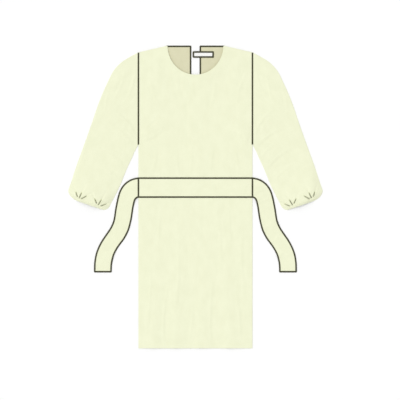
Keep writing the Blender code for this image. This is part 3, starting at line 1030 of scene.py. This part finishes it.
def make_sleeve(side, wearer):
    """A sleeve: a flattened tube from the armhole to the gathered cuff."""
    arm = Arm(side)
    distance, top, gather_shade = arm.upper()
    distance_under, bottom = arm.lower()
    angles = np.radians(np.linspace(-90, 90, FOLD_COLUMNS + 2)[1:-1])[None, :]
    from_fold = FOLD_RADIUS * (1 - np.cos(angles)) + 0 * arm.width
    folds = []
    for k in (0, -1):
        middle, half = (top[:, k] + bottom[:, k]) / 2, (top[:, k] - bottom[:, k]) / 2
        folds.append(middle[:, None] + half[:, None] * np.sin(angles))
    ring = [from_fold, distance, (arm.width - from_fold)[:, ::-1], distance_under[:, ::-1]]
    x, y = arm.plan(np.hstack(ring))
    z = np.hstack([folds[0], top, folds[1][:, ::-1], bottom[:, ::-1]])
    steps = (np.diff(values, axis=1, prepend=values[:, :1]) for values in (x, y, z))
    girth = np.cumsum(np.sqrt(sum(step**2 for step in steps)), axis=1)
    cut = girth - girth[:, -1:] / 2, arm.run + 0 * girth
    # The gathers' painted shade lies on the upper cloth only.
    gather_shade = np.pad(gather_shade, ((0, 0), (FOLD_COLUMNS, FOLD_COLUMNS + UNDER_COLUMNS)))
    piece = shell(f"arm_{wearer}", (x, y, z), cut=cut, around=True, gather_shade=gather_shade)
    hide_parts(f"sleeve_{wearer}")

    row = np.abs(arm.to_mouth - CASING).argmin()
    shares = np.linspace(*CUFF_ENDS, LINE_POINTS)[:, None]
    hem = arm.over[row] + shares * (arm.under - arm.over)[row]
    stitching(f"cuff_stitching_{wearer}", hem, piece)
    return piece


def tie_plan(side):
    """A tie's plan, its width and the run at each station, and the shares across it."""
    lines = through(TIE_LINES, FINE)
    shares = np.linspace(-1, 1, TIE_COLUMNS)[None, :]
    outer, inner = lines[:, None, :2], lines[:, None, 2:]
    plan = ((outer + inner) / 2 + shares[..., None] * (inner - outer) / 2) * (side, 1)
    width = np.linalg.norm(plan[:, 0] - plan[:, -1], axis=1)[:, None]
    return plan, width, runs_of((lines[:, :2] + lines[:, 2:]) / 2)[:, None], shares


def make_tie(side, wearer):
    """A tie: a flat band that drops off the belt's end and lies on the table in an S."""
    plan, width, run, shares = tie_plan(side)
    x, y = plan[..., 0], plan[..., 1]
    at_start = ramp(run, TIE_START_FADE)
    z = WALL + 2 * LAYER * (1 - ramp(run, TIE_DROP)) - TIE_TUCK * (1 - at_start)
    z = z + ramp(run, TIE_DROP / 2) * fold_lift(x, y, TIE_FOLDS)
    inside = ramp(1 - np.abs(shares), TIE_EDGE_FADE) * at_start * ramp(run[-1] - run, TIE_END_FADE)
    fine = crease_lift(x, y, TIE_CREASES) + drift(x, y, "tie", side)
    ripple = np.maximum(drift(run, shares, "tie ripple", side), DEEPEST_RIPPLE)
    z = np.maximum(z + inside * fine + ramp(run, RIPPLE_FADE) * ripple, CLOTH + TIE_GAP)
    cut = shares * width / 2, run + 0 * z
    pull = corner_pull(run[-1] - run, (1 - np.abs(shares)) * width / 2)
    x, y = x + side * np.sign(shares) * pull, y + pull
    piece = shell(f"long_tie_{wearer}", (x, y, z), cut=cut)
    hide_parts(f"tie_{wearer}")
    return piece


def make_tab():
    """The neck tab's tape."""
    x = np.linspace(tab_low[0], tab_high[0], TAB_COLUMNS)
    x, y = np.meshgrid(x, np.linspace(tab_low[1], tab_high[1], TAB_ROWS))
    from_end = np.minimum(x - tab_low[0], tab_high[0] - x)
    from_edge = np.minimum(y - tab_low[1], tab_high[1] - y)
    z = tab_high[2] - TAB_EDGE_DROP + TAB_SWELL * ramp(from_end, TAB_FADE) * ramp(from_edge, TAB_FADE)
    z = z + drift(x, y, "tab")
    middle = (tab_low + tab_high) / 2
    pull = corner_pull(from_end, from_edge)
    x, y = x - np.sign(x - middle[0]) * pull, y - np.sign(y - middle[1]) * pull
    piece = shell("neck_tape", (x, y, z), "tab_tape", thickness=TAB_CLOTH)
    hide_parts("neck_tab")
    return piece


def make_seams(pieces):
    """The dark overlock sewing on the armholes, belt, ties, tab and the back's open edges."""
    inset = BAND_WIDTH / 2 - OVERHANG
    edge = CLOTH + LAYER_GAP
    surfaces = {name: surface_of(piece) for name, piece in pieces.items()}
    for side, wearer in ((-1, "right"), (1, "left")):
        seam_x = side * (SIDE + SEAM_X) / 2
        arm, tie, back = (surfaces[f"{name}_{wearer}"] for name in ("arm", "tie", "back"))
        legs = [[(seam_x, SHOULDER_Y - SEAM_TRIM), (seam_x, UNDERARM_Y - SEAM_TRIM)]]
        band = seam_band(legs, [surfaces["front"], arm])
        overlock(f"armhole_seam_{wearer}", band)
        band[:, -3:] = UNDER_TOP
        overlock(f"armhole_seam_under_{wearer}", band, facing=-1)

        legs = [[(seam_x, belt_high[1]), (seam_x, belt_low[1])]]
        band = seam_band(legs, [surfaces["belt"], tie], BELT_END_LIFT)
        overlock(f"belt_end_seam_{wearer}", band)

        plan, width, *_ = tie_plan(side)
        inwards = (plan[:, -1] - plan[:, 0]) * inset / width
        end_y = plan[-1, 0, 1] + inset
        lines = plan[:, 0] + inwards, plan[:, -1] - inwards
        outer, inner = (line[line[:, 1] > end_y + SEAM_TRIM] for line in lines)
        corners = [(line[-1, 0], end_y) for line in (outer, inner)]
        legs = [[*outer, corners[0]], corners, [corners[1], *inner[::-1]]]
        band = seam_band(legs, [tie], TIE_EDGING_LIFT)
        overlock(f"tie_edging_{wearer}", band, under=edge, outer=-side)

        x, y = side * (BACK_EDGE + inset), TOP - inset
        legs = [[(side * (NECK_HALF + PAST_NECK), y), (x, y)], [(x, y), (x, HEM)]]
        overlock(f"back_edging_{wearer}", seam_band(legs, [back]), under=edge, outer=side)

    for name, y, outer in (("top", belt_high[1] - inset, -1), ("bottom", belt_low[1] + inset, 1)):
        band = seam_band([[(-SIDE, y), (SIDE, y)]], [surfaces["belt"]])
        overlock(f"belt_{name}_seam", band, under=edge, outer=outer)

    (left, low), (right, high) = tab_low[:2] + inset, tab_high[:2] - inset
    middle = ((left + right) / 2, high)
    loop = [middle, (left, high), (left, low), (right, low), (right, high), middle]
    band = seam_band(list(zip(loop, loop[1:])), [surfaces["tab"]])
    overlock("tab_edging", band, under=TAB_CLOTH + LAYER_GAP, outer=1)


def make_stitching(front):
    """Stitches in the cloth's colour along the neckline and the hem."""
    turns = np.radians(np.linspace(183, 357, LINE_POINTS))
    reach = np.array((NECK_HALF, NECK_DEPTH)) + NECK_INSET
    neck = np.stack([reach[0] * np.cos(turns), TOP + reach[1] * np.sin(turns)], axis=1)
    stitching("neck_stitching", neck, front)
    end, y = SIDE - HEM_TRIM, HEM + HEM_INSET
    stitching("hem_stitching", np.array([(-end, y), (end, y)]), front)


def make_stage():
    """The table, the camera straight above it, and soft light from the upper left."""
    mesh = bpy.data.meshes.new("table")
    mesh.from_pydata([(-4, -4, 0), (4, -4, 0), (4, 4, 0), (-4, 4, 0)], [], [(0, 1, 2, 3)])
    mesh.materials.append(table_material())
    table = placed("table", mesh)
    table.location.z = -TABLE_DROP

    camera = placed("camera", bpy.data.cameras.new("camera"))
    camera.data.type = "ORTHO"
    camera.data.ortho_scale = VIEW_WIDTH
    camera.location = (*VIEW_CENTRE, CAMERA_HEIGHT)
    bpy.context.scene.camera = camera

    sun = placed("key", bpy.data.lights.new("key", "SUN"))
    sun.data.energy = SUN_STRENGTH
    sun.data.angle = np.radians(SUN_ANGLE)
    sun.rotation_euler = Vector(SUN_DIRECTION).to_track_quat("-Z", "Y").to_euler()

    world = bpy.data.worlds.new("studio")
    world.use_nodes = True
    tree = world.node_tree
    spot = add_node(tree, "TexCoord").outputs["Generated"]
    up = add_node(tree, "SeparateXYZ", {"Vector": spot}).outputs["Z"]
    background = tree.nodes["Background"]
    background.inputs["Color"].default_value = (1, 1, 1, 1)
    strength = remapped(tree, up, -0.02, 0, GROUND_STRENGTH, SKY_STRENGTH)
    tree.links.new(strength, background.inputs["Strength"])
    bpy.context.scene.world = world
    bpy.context.scene.view_settings.view_transform = "Standard"


make_stage()
finishes = {
    "gown_cloth": nonwoven("spunbond", *CLOTH_COLOURS),
    # The inner face: a darker copy of the cloth, as painted shade.
    "gown_inside": nonwoven("spunbond_inside_painted_shade", *SHADED_INSIDE_COLOURS),
    "tab_tape": tape_material(),
    "seam_thread": thread_material(),
}
pieces = {"front": make_front(), "belt": make_belt(), "tab": make_tab()}
for side, wearer in ((-1, "right"), (1, "left")):
    pieces[f"back_{wearer}"] = make_back(side, wearer)
    pieces[f"arm_{wearer}"] = make_sleeve(side, wearer)
    pieces[f"tie_{wearer}"] = make_tie(side, wearer)
make_seams(pieces)
make_stitching(pieces["front"])
